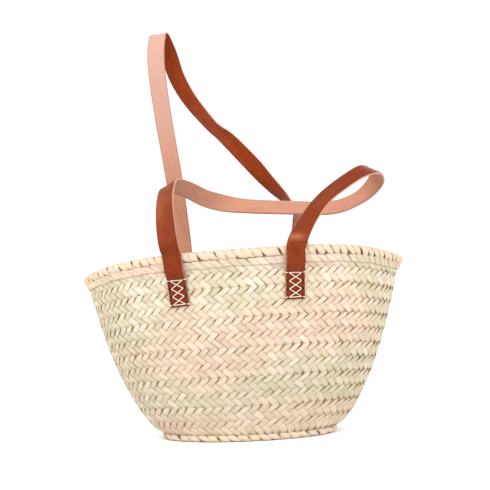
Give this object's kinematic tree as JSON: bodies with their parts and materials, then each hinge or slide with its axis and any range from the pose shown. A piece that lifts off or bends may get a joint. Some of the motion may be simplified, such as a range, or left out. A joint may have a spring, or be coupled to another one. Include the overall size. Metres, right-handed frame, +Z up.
{
  "type": "woven market basket",
  "caption": "Oval market basket of plaited palm leaf with a whipped rim, a rolled base seam and long flat leather shoulder handles sewn on with crossed thread.",
  "frame": {"origin": "centre of the flat underside of the base, on the surface the basket stands on", "axes": "+Z up through the mouth, +Y from the front to the back, +X to the right seen from the front"},
  "size_m": [0.4408, 0.1983, 0.5743],
  "materials": {
    "palm_plait": "dry plaited palm leaf, matt with a slight sheen along the fibres",
    "palm_leaf": "smooth split palm leaf, slight sheen",
    "palm_cord": "twisted palm fibre, matt",
    "leather": "saddle-brown vegetable-tanned leather, semi-gloss grain side, pale raw flesh side and edges",
    "waxed_thread": "waxed off-white thread"
  },
  "bodies": {
    "basket": {"base_panel": "palm_plait", "base_welt": "palm_leaf", "wall_braid_1": "palm_plait", "wall_braid_2": "palm_plait", "wall_braid_3": "palm_plait", "wall_braid_4": "palm_plait", "wall_braid_5": "palm_plait", "wall_braid_6": "palm_plait", "seam_cord_1": "palm_cord", "seam_cord_2": "palm_cord", "seam_cord_3": "palm_cord", "seam_cord_4": "palm_cord", "seam_cord_5": "palm_cord", "rim_core": "palm_cord", "rim_wrap": "palm_leaf", "rim_collar": "palm_leaf", "front_left_tab": "leather", "front_right_tab": "leather", "rear_left_tab": "leather", "rear_right_tab": "leather", "front_left_stitching": "waxed_thread", "front_right_stitching": "waxed_thread", "rear_left_stitching": "waxed_thread", "rear_right_stitching": "waxed_thread"},
    "front_loop": {"front_handle": "leather"},
    "rear_loop": {"rear_handle": "leather"}
  },
  "joints": [
    {"name": "front_handle_swing", "type": "hinge", "parent": "basket", "child": "front_loop", "pos_m": [0, -0.0886, 0.2255], "axis": [1, 0, 0], "range_deg": [0, 132]},
    {"name": "rear_handle_swing", "type": "hinge", "parent": "basket", "child": "rear_loop", "pos_m": [0, 0.089, 0.2255], "axis": [-1, 0, 0], "range_deg": [0, 130]}
  ]
}
